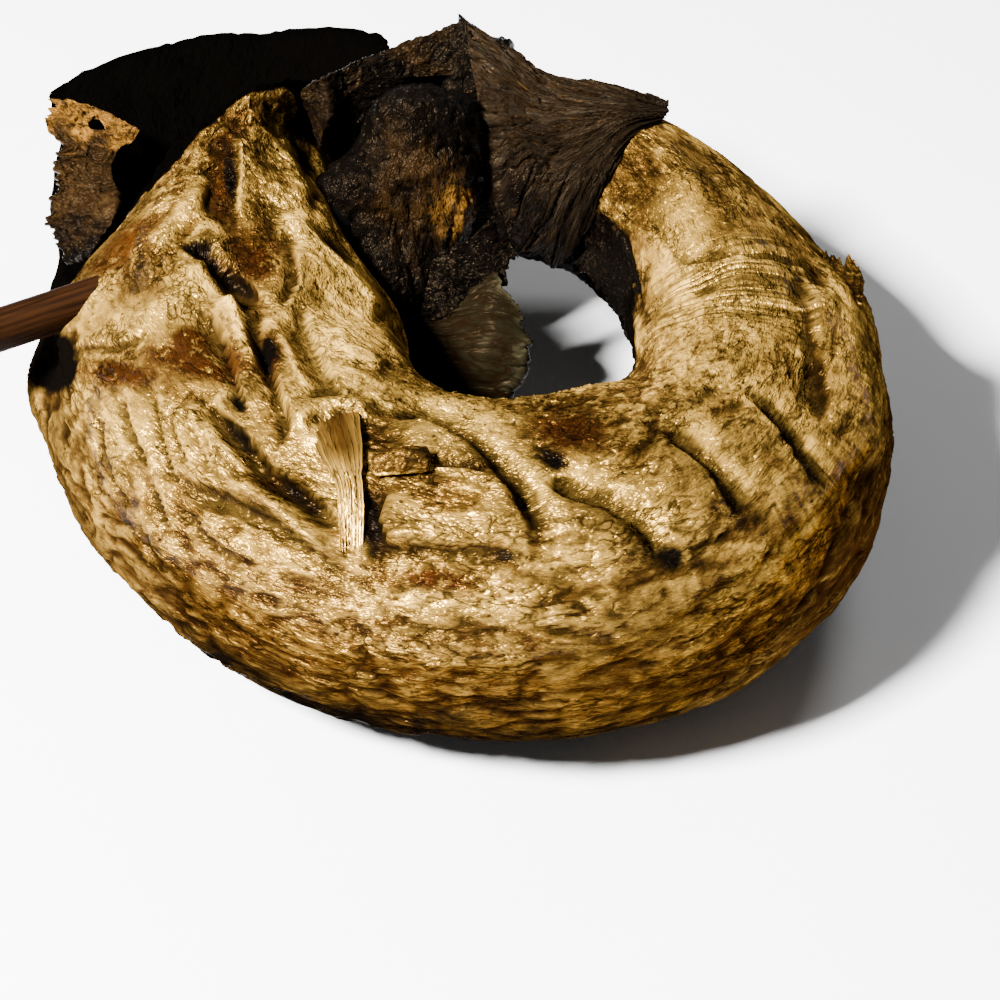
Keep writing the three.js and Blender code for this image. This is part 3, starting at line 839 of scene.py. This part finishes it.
# Burnt end of the tail. A strip: path, half widths along it, half thickness, the way its flat side looks,
# how squarely it ends. The stalk: left and right edge and height in the picture, how far back, half thickness.
tailEnd = {
    "peak": ([(-5, 72, 69), (0, 64, 56), (5, 54, 34)], (1, 7, 12, 15, 16), 6, (0, -0.8, 0.6), 5),
    "crumb": ([(-2, 66, 52), (3.5, 66.5, 60), (5.5, 68, 64.5)], (6, 6, 5, 3), 4, (0, -0.8, 0.6), 6),
    "stalk": [
        (418, 432, 84, 56, 6), (386, 468, 92, 54, 9), (366, 484, 112, 51, 12), (350, 488, 148, 48, 13),
        (306, 486, 188, 43, 13), (312, 476, 224, 39, 12), (332, 458, 258, 35, 11), (350, 440, 290, 30, 10),
        (368, 430, 320, 26, 8), (388, 420, 350, 20, 5),
    ],
    "voxel": 0.8,
    "wrinkles": {"Wrinkles": 0.9, "Lumps": 3.0},
}


def stalkPoints(rows=70, around=40):
    posts = between(np.array(tailEnd["stalk"], float), np.linspace(0, len(tailEnd["stalk"]) - 1, rows))
    left, right, y, back, thick = posts.T
    ends = [fromPicture(np.stack([x, y, back], -1)) for x in (left, right)]
    middle, half = (ends[0] + ends[1]) / 2, (ends[1] - ends[0]) / 2
    close = np.sqrt(1 - np.linspace(-1, 1, rows) ** 8)[:, None, None]
    turn = np.linspace(0, 2 * np.pi, around, endpoint=False)[None, :, None]
    away = viewAxes()[0] * thick[:, None, None]
    return middle[:, None] + close * (half[:, None] * np.cos(turn) + away * np.sin(turn))


def stripPoints(path, widths, thick, face, blunt, rows=40, around=24):
    centre, side, flat, half, t = ribbon(path, widths, face, rows)
    close = np.sqrt(np.maximum(0, 1 - np.abs(2 * t - 1) ** blunt))[:, None]
    turn = np.linspace(0, 2 * np.pi, around, endpoint=False)
    out = (close * half[:, None] * np.cos(turn))[..., None] * side
    return centre + out + (close * thick * np.sin(turn))[..., None] * flat


# Tubes grown together into one skin
def fuse(name, tubes, voxel, rounds):
    points, faces, start = [], [], 0
    for tube in tubes:
        flat, sides = closedTube(tube)
        points.append(flat)
        faces += [tuple(k + start for k in side) for side in sides]
        start += len(flat)
    piece = meshObject(name, np.vstack(points), faces)
    remesh = piece.modifiers.new("remesh", "REMESH")
    remesh.mode = "VOXEL"
    remesh.voxel_size = voxel / 1000
    remesh.use_smooth_shade = True
    smooth = piece.modifiers.new("smooth", "SMOOTH")
    smooth.factor, smooth.iterations = 0.5, rounds
    settle(piece)
    return piece


# Broken breast spine: a squared stub across the slit
stub = {
    "path": [(372, 470, -64), (400, 466, -65), (431, 464, -65)], "half": 2.6, "thick": 1.7, "raise": 1.2,
    "face": (0, -0.5, 0.85), "blunt": 14, "voxel": 0.45,
    "wrinkles": {"Wrinkles": 0.3, "Cells": 0.2, "Plates": 0.2, "Lumps": 1.5},
}


def buildStub():
    path = fromPicture(stub["path"]) + stub["raise"] * upward
    tube = stripPoints(path, (stub["half"], stub["half"]), stub["thick"], stub["face"], stub["blunt"])
    piece = fuse("spineStub", [tube], stub["voxel"], 2)
    # Painted shade darkens the stub's top and painted light lightens its sides
    up = meshPoints(piece)[1][:, 2]
    setFields(piece, {"paleAndHighlight": 0.8 * ease(0.3, -0.3, up), "charAndShade": 0.45 * ease(0.2, 0.8, up)})
    runGroup(piece, skinRelief, stub["wrinkles"])
    dress(piece, "fish", goldenSkin)


def buildTail():
    tubes = [stripPoints(*tailEnd["peak"]), stripPoints(*tailEnd["crumb"]), stalkPoints()]
    piece = fuse("burntTail", tubes, tailEnd["voxel"], 4)
    points, normals = meshPoints(piece)
    seen, _ = seenAt(points, normals)
    torn = np.maximum(inPatch(seen, 460, 208, 24, 30, 20), inPatch(seen, 500, 143, 15, 22))
    stalk = inPatch(seen, 410, 190, 62, 95, -10)
    setFields(piece, {
        "charAndShade": np.clip(0.9 - 0.55 * torn - 0.4 * stalk, 0, 1), "paleAndHighlight": 0.6 * torn, "lengthwise": 0.9,
        "crumbly": 0.25 + 0.5 * inPatch(seen, 490, 45, 40, 30), "fishPlace": points[:, [2, 0, 1]],
    })
    runGroup(piece, skinRelief, tailEnd["wrinkles"])
    dress(piece, "fish", burntSkin)
    print("tail", len(piece.data.vertices), "points")


buildStub()
buildTail()


# Fins: sheets of bony rays under dried skin
def makeFinRays():
    values = {"Rays": 10.0, "Thickness": 1.4, "Ridge": 0.0, "Tears": 3.0, "Notch": 0.0, "Stripes": 0.0, "Seed": 0.0}
    n, given = newGroup("finRays", values)
    alongRay = n.field("alongRay")
    shaky = {"Vector": n.add("GeometryNodeInputPosition").outputs[0], "Scale": 120.0, "Detail": 2.0}
    shaky = n.minus(n.add("ShaderNodeTexNoise", shaky).outputs[0], 0.5)
    count = n.timesPlus(shaky, 0.9, n.times(n.field("across"), given["Rays"]))
    wave = n.calc("COSINE", n.times(count, 2 * math.pi))
    ridge = n.calc("POWER", n.timesPlus(wave, 0.5, 0.5), 1.5)
    valley = n.minus(1.0, ridge)
    thin = n.timesPlus(alongRay, -0.55, 1.0)
    half = n.times(n.times(given["Thickness"], 0.5), thin)
    half = n.timesPlus(n.times(ridge, given["Ridge"]), thin, half)
    swell = n.millimetres(n.field("faceSide", "FLOAT_VECTOR"), n.times(half, n.field("full")))

    seeded = n.calc("ADD", n.times(count, 0.35), given["Seed"])
    inputs = {"W": seeded, "Scale": 1.0, "Detail": 4.0, "Roughness": 0.7}
    ragged = n.add("ShaderNodeTexNoise", inputs, noise_dimensions="1D").outputs[0]
    torn = n.times(n.ease(ragged, 0.25, 0.75), given["Tears"])
    torn = n.timesPlus(valley, given["Notch"], torn)
    torn = n.times(torn, n.ease(alongRay, 0.35, 1.0))
    shrink = n.millimetres(n.field("rayAhead", "FLOAT_VECTOR"), torn)
    offset = n.vector("SUBTRACT", {0: swell, 1: shrink})[0]
    return endGroup(n, given, n.times(valley, given["Stripes"]), offset)


finRays = makeFinRays()
finWrinkles = {
    "Wrinkles": 0.4, "Cells": 0.2, "Fine": 0.2, "Plates": 0.3, "Striae": 0.0, "Crust": 1.0, "Lumps": 2.0,
}


# A closed double sheet over a grid: rows run from the base to the free end, columns across the rays
def buildFin(name, fin, grid, material, fields):
    rows, columns = grid.shape[:2]
    ahead = unit(np.gradient(grid, axis=0))
    face = unit(np.cross(np.gradient(grid, axis=1), ahead))
    length = np.linalg.norm(np.diff(grid, axis=0), axis=2).sum(0)
    ahead = ahead * (length / length.max())[:, None]
    across = np.repeat(np.linspace(0, 1, columns)[None], rows, 0)
    alongRay = np.repeat(np.linspace(0, 1, rows)[:, None], columns, 1)
    count = rows * columns
    index = np.arange(count).reshape(rows, columns)
    quads = np.stack([index[:-1, :-1], index[:-1, 1:], index[1:, 1:], index[1:, :-1]], -1).reshape(-1, 4)
    for u, v, wide, tall in fin.get("holes", ()):
        away = ((across - u) / wide) ** 2 + ((alongRay - v) / tall) ** 2
        quads = quads[away.ravel()[quads].min(1) > 1]
    sides = np.stack([quads, np.roll(quads, -1, 1)], -1).reshape(-1, 2)
    lone = sides[~np.isin(sides @ (count, 1), sides @ (1, count))]
    full = np.ones(count)
    full[lone] = 0.25  # the sheet is thinner along its rim
    rim = np.stack([lone[:, 1], lone[:, 0], lone[:, 0] + count, lone[:, 1] + count], -1)
    faces = np.vstack([quads, quads[:, ::-1] + count, rim])
    used, order = np.unique(faces, return_inverse=True)

    def doubled(field, other=1):
        field = np.asarray(field).reshape(count, -1)
        return np.squeeze(np.vstack([field, other * field])[used])

    own = {"across": across, "alongRay": alongRay, "full": full, "rayAhead": ahead}
    own = {**{key: doubled(field) for key, field in own.items()}, "faceSide": doubled(face, -1)}
    piece = meshObject(name, doubled(grid), order.reshape(-1, 4).tolist(), own)
    painted = fields(across, alongRay)
    setFields(piece, {key: doubled(field) if np.ndim(field) else field for key, field in painted.items()})
    runGroup(piece, finRays, fin["rays"])
    runGroup(piece, skinRelief, {**finWrinkles, **fin["wrinkles"]})
    dress(piece, "fish", material)
    print(name, len(piece.data.vertices), "points")


# A sheet along a path: half widths to either side, flat side looking along face, edges bent by sag
def pathSheet(path, widths, face, rows, columns, sag):
    centre, side, flat, half, _ = ribbon(path, widths, face, rows)
    v = np.linspace(-1, 1, columns)[None]
    out = (half[:, None] * v)[..., None] * side
    return centre + out - (sag * v**2 * half[:, None])[..., None] * flat


# places: rows from the base to the free end, each point's place in the picture and how far back it lies;
# rays, wrinkles: what differs from the finRays group's own values and from finWrinkles
pectoral = {
    "path": [(-28.5, -38, 54), (-26, -54, 59.6), (-23, -69, 58), (-22.5, -80.5, 51.2)],
    "widths": (3.0, 4.4, 4.8, 4.0, 2.4, 2.2, 1.8), "face": (-0.15, -0.3, 0.93), "sag": 0.12,
    "rows": 90, "columns": 90,
    "rays": {"Rays": 8.0, "Thickness": 1.8, "Ridge": 0.3, "Tears": 5.0, "Notch": 2.0, "Stripes": 0.45, "Seed": 3.0},
    "wrinkles": {"Wrinkles": 0.5, "Fine": 0.3, "Crust": 0.0, "Lumps": 2.5},
}
caudal = {
    "places": [
        [(404, 316, 24), (404, 328, 22), (407, 344, 20), (412, 362, 18)],
        [(440, 297, 25), (450, 322, 20), (446, 350, 17), (426, 380, 15)],
        [(478, 280, 25), (494, 312, 18), (490, 350, 14), (458, 394, 12)],
        [(503, 266, 25), (531, 325, 16), (528, 358, 12), (505, 402, 9)],
    ],
    "rows": 70, "columns": 160,
    "rays": {"Rays": 13.0, "Thickness": 1.1, "Ridge": 0.12, "Notch": 0.3, "Stripes": 0.25, "Seed": 9.0},
    "wrinkles": {"Wrinkles": 1.2, "Cells": 0.0, "Fine": 0.0, "Crust": 0.0, "Lumps": 7.0},
}
membrane = {
    "places": [
        [(410, 318, 24), (424, 275, 27), (440, 250, 29), (470, 236, 30), (500, 205, 34)],
        [(418, 326, 22), (440, 290, 24), (460, 272, 26), (488, 262, 27), (508, 235, 31)],
        [(428, 346, 19), (458, 322, 20), (484, 304, 22), (510, 284, 24), (520, 260, 28)],
    ],
    "rows": 40, "columns": 120,
    "rays": {"Rays": 11.0, "Ridge": 0.2, "Notch": 0.6, "Stripes": 0.4, "Seed": 14.0},
    "wrinkles": {"Wrinkles": 0.5, "Cells": 0.3, "Fine": 0.3, "Crust": 2.0, "Lumps": 3.0},
}
jawWeb = {
    "places": [
        [(322, 150, 50), (330, 122, 48), (342, 98, 55), (378, 78, 60), (420, 78, 62), (470, 74, 62)],
        [(310, 116, 54), (326, 98, 52), (348, 78, 58), (390, 58, 63), (432, 48, 65), (474, 42, 65)],
        [(300, 90, 56), (322, 76, 55), (348, 63, 60), (400, 43, 66), (438, 27, 68), (458, 15, 69)],
    ],
    "rows": 40, "columns": 160,
    "rays": {"Rays": 14.0, "Thickness": 1.6, "Ridge": 0.05, "Tears": 1.2, "Seed": 5.0},
    "wrinkles": {"Cells": 0.3, "Fine": 0.3, "Crust": 1.6},
}
# A black sheet in the hollow behind the jaw: char and painted shadow
hollowShadowWall = {
    "places": [
        [(296, 98, 60), (345, 72, 68), (395, 56, 70), (490, 45, 70)],
        [(300, 160, 58), (345, 160, 64), (395, 150, 66), (490, 150, 66)],
        [(325, 240, 55), (352, 244, 57), (395, 244, 57), (490, 244, 57)],
    ],
    "rows": 40, "columns": 60,
    "rays": {"Rays": 8.0, "Thickness": 2.4, "Tears": 1.0, "Seed": 6.0},
    "wrinkles": {"Wrinkles": 0.6, "Cells": 0.15, "Fine": 0.1, "Plates": 0.9, "Striae": 0.35,
                 "Crust": 3.0, "Lumps": 2.6},
}
cheekFlap = {
    "places": [
        [(92, 255, 20), (104, 236, 28), (116, 218, 34), (118, 192, 42), (112, 170, 50), (120, 150, 55),
         (134, 143, 58), (142, 130, 62)],
        [(78, 262, 20), (75, 238, 30), (75, 215, 38), (82, 188, 46), (85, 165, 52), (85, 143, 56),
         (88, 122, 62), (92, 106, 68)],
        [(66, 268, 20), (48, 238, 30), (39, 222, 36), (48, 190, 45), (52, 160, 52), (46, 136, 58),
         (39, 104, 68), (41, 97, 71)],
    ],
    "rows": 80, "columns": 150, "holes": [(0.86, 0.42, 0.03, 0.06)],
    "rays": {"Rays": 24.0, "Thickness": 1.6, "Tears": 5.0, "Seed": 8.0},
    "wrinkles": {"Wrinkles": 0.6, "Cells": 0.3, "Fine": 0.4, "Crust": 1.8, "Lumps": 4.0},
}
streakWeb = {
    "places": [
        [(462, 18, 68), (490, 36, 66), (518, 52, 65), (545, 72, 63), (585, 80, 61), (625, 88, 60),
         (668, 102, 62)],
        [(470, 60, 60), (500, 72, 59), (530, 92, 57), (560, 100, 56), (595, 104, 55), (628, 106, 55),
         (668, 112, 58)],
        [(478, 110, 50), (505, 122, 49), (535, 135, 49), (565, 142, 49), (595, 140, 49), (625, 130, 50),
         (660, 125, 55)],
        [(482, 160, 45), (510, 170, 43), (540, 180, 43), (570, 184, 43), (596, 180, 43), (620, 165, 45),
         (650, 150, 52)],
        [(490, 215, 40), (512, 250, 38), (545, 272, 41), (570, 258, 42), (592, 235, 41), (612, 210, 42),
         (640, 180, 48)],
    ],
    "rows": 120, "columns": 160, "rays": {"Rays": 16.0, "Seed": 12.0},
    "wrinkles": {"Wrinkles": 0.8, "Cells": 0.1, "Fine": 0.1, "Crust": 0.4, "Lumps": 1.5},
}
innerFin = {
    "places": [
        [(612, 215, 40), (630, 245, 28), (640, 280, 15), (646, 315, 4), (648, 350, -4), (646, 392, -8)],
        [(590, 248, 41), (611, 268, 31), (623, 293, 22), (634, 322, 12), (642, 355, 3), (645, 392, -4)],
        [(560, 272, 42), (588, 284, 34.5), (602, 302, 29.5), (617, 324, 22), (633, 358, 11), (641, 392, 0)],
    ],
    "rows": 40, "columns": 200, "wrinkles": {},
    "rays": {"Rays": 18.0, "Ridge": 0.15, "Tears": 6.0, "Notch": 0.5, "Stripes": 0.2, "Seed": 21.0},
}
finTip = {
    "places": [
        [(800, 296, 0), (820, 298, -1), (842, 302, -2), (862, 308, -4)],
        [(806, 276, 9), (824, 272, 10), (846, 274, 9), (864, 286, 5)],
        [(810, 260, 15), (826, 250, 17), (848, 254, 15), (864, 272, 10)],
    ],
    "rows": 40, "columns": 70, "wrinkles": {},
    "rays": {"Rays": 9.0, "Thickness": 1.6, "Ridge": 0.2, "Tears": 5.0, "Notch": 1.0, "Stripes": 0.4, "Seed": 31.0},
}


def buildFins():
    def burnt(charAndShade):
        return lambda across, alongRay: {"charAndShade": charAndShade}

    def rimmed(across, alongRay):
        rim = np.maximum(ease(0.86, 1.0, alongRay), 0.6 * ease(0.93, 1.0, across))
        own = np.stack([9 * alongRay, 14 * across, 5 + 0 * across], -1)
        return {"charAndShade": 0.2 - 0.25 * rim, "paleAndHighlight": 0.8 * rim, "fishPlace": own}

    def cheek(across, alongRay):
        band = ease(0.7, 0.82, across + 0.06 * np.sin(14 * alongRay))
        charAndShade = 0.42 - 0.5 * band * ease(0.4, 0.7, alongRay) + 0.3 * ease(0.4, 0.0, across)
        return {"charAndShade": charAndShade, "paleAndHighlight": 0.8 * band, "crumbly": 0.5}

    def streaks(across, alongRay):
        fan = np.stack([30 * across, 60 * (alongRay - 0.25) / (1.15 - across), 0 * across], -1)
        return {"charAndShade": 0.26 + 0.36 * alongRay, "lengthwise": 1.0, "fishPlace": fan}

    def frayed(across, alongRay):
        middle = bump(across - 0.45, 0.3) * ease(0.0, 0.2, alongRay) * ease(0.75, 0.5, alongRay)
        own = np.stack([8 * alongRay, 9 * across, 0 * across], -1)
        paleAndHighlight = 0.2 + 0.6 * np.maximum(ease(0.5, 0.75, alongRay), ease(0.25, 0.05, alongRay)) - 0.2 * middle
        return {"stain": 0.45 * middle, "paleAndHighlight": paleAndHighlight, "charAndShade": -0.3, "even": 0.7, "fishPlace": own}

    path = (pectoral[key] for key in ("path", "widths", "face", "rows", "columns", "sag"))
    buildFin("pectoralFin", pectoral, pathSheet(*path), goldenSkin, frayed)
    for name, fin, material, fields in (
        ("tailFin", caudal, finSkin, rimmed),
        ("tailMembrane", membrane, burntSkin, burnt(0.75)),
        ("jawWeb", jawWeb, burntSkin, burnt(0.6)),
        ("hollowShadowWall", hollowShadowWall, burntSkin, burnt(1.0)),
        ("streakWeb", streakWeb, webSkin, streaks),
        ("innerFin", innerFin, burntSkin, burnt(0.85)),
        ("cheekFlap", cheekFlap, burntSkin, cheek),
        ("finTip", finTip, shadySkin, burnt(0.5)),
    ):
        grid = refine(fromPicture(fin["places"]), fin["rows"], fin["columns"])
        buildFin(name, fin, grid, material, fields)


buildFins()

# Skewer: a split wooden stick
stick = {
    "start": (-110, -16, 46), "end": (-6, 50, 40), "radius": 4.3, "around": 40, "rows": 160,
    "dark": (0.0034, 0.0011, 0.0003), "light": (0.0135, 0.0046, 0.0011), "soot": (0.0006, 0.0004, 0.0003),
    "sootFrom": (0.055, 0.075), "rough": 0.6, "shine": 0.03,
}


def makeWood():
    material, n, shader = newMaterial("skewerWood")
    grain = n.add("ShaderNodeAttribute", attribute_name="grain").outputs["Vector"]
    streaks = n.noise(grain, (60.0, 900.0, 900.0), 5.0)
    color = n.mix(n.ease(streaks, 0.3, 0.7), stick["dark"], stick["light"])
    along = n.add("ShaderNodeSeparateXYZ", {"Vector": grain}).outputs[0]
    n.feed(shader["Base Color"], n.mix(n.ease(along, *stick["sootFrom"]), color, stick["soot"]))
    shader["Roughness"].default_value = stick["rough"]
    shader["Specular IOR Level"].default_value = stick["shine"]
    raised = {"Strength": 0.5, "Distance": 0.0005, "Height": streaks}
    n.feed(shader["Normal"], n.add("ShaderNodeBump", raised).outputs[0])
    return material


def buildStick():
    start, end = np.array(stick["start"], float), np.array(stick["end"], float)
    length = np.linalg.norm(end - start)
    axis = (end - start) / length
    side = unit(np.cross(axis, upward))
    over = np.cross(side, axis)
    t = np.linspace(0, 1, stick["rows"])[:, None]
    turn = np.linspace(0, 2 * np.pi, stick["around"], endpoint=False)[None, :]
    radius = stick["radius"] * (1 - 0.03 * np.cos(3 * turn + 4 * t) - 0.02 * np.cos(7 * turn + 1.5))
    radius = radius * (0.9 + 0.1 * np.sqrt(np.clip(np.minimum(t, 1 - t) * length / 1.2, 0, 1)))
    points = start + t[..., None] * axis * length
    points = points + (radius * np.cos(turn))[..., None] * side + (radius * np.sin(turn))[..., None] * over
    first, last = (np.repeat(tip[None, None], stick["around"], 1) for tip in (start, end))
    points = np.concatenate([first, points, last])[:, ::-1]
    flat, faces = closedTube(points)
    away = points - start
    grain = closedRows(np.stack([away @ axis, away @ side, away @ over], -1)) / 1000
    piece = meshObject("smokingStick", flat, faces, {"grain": grain})
    dress(piece, "skewer", makeWood())


buildStick()

# Floor, light and camera; each lamp has a place, size and power
studio = {
    "floor": 3000, "floorHeight": -0.4, "paper": (0.9, 0.9, 0.9), "paperRough": 0.9, "sky": 0.1,
    "lamps": {"keyLight": ((-0.58, -0.4, 0.8), 0.2, 138), "backLight": ((0.4, 0.6, 0.8), 0.3, 3)},
    "lampAim": (0, 0, 0.03),
}


def placeObject(name, data, location, target):
    thing = bpy.data.objects.new(name, data)
    thing.location = location
    thing.rotation_euler = (Vector(target) - Vector(location)).to_track_quat("-Z", "Y").to_euler()
    bpy.context.scene.collection.objects.link(thing)
    return thing


def buildStage():
    half = studio["floor"] / 2
    sides = ((-1, -1), (1, -1), (1, 1), (-1, 1))
    corners = np.array([(x * half, y * half, studio["floorHeight"]) for x, y in sides])
    floor = meshObject("floor", corners - ringMiddle, [(0, 1, 2, 3)])
    paper, _, surface = newMaterial("paper")
    surface["Base Color"].default_value = (*studio["paper"], 1)
    surface["Roughness"].default_value = studio["paperRough"]
    floor.data.materials.append(paper)
    world = bpy.data.worlds.new("studio")
    world.use_nodes = True
    world.node_tree.nodes["Background"].inputs[0].default_value = (1, 1, 1, 1)
    world.node_tree.nodes["Background"].inputs[1].default_value = studio["sky"]
    bpy.context.scene.world = world
    for name, (location, size, power) in studio["lamps"].items():
        light = bpy.data.lights.new(name, "AREA")
        light.size, light.energy = size, power
        placeObject(name, light, location, studio["lampAim"])
    camera = bpy.data.cameras.new("camera")
    camera.lens = view["lens"]
    eye, aim = Vector(view["location"]) / 1000, Vector(view["target"]) / 1000
    bpy.context.scene.camera = placeObject("camera", camera, eye, aim)


buildStage()
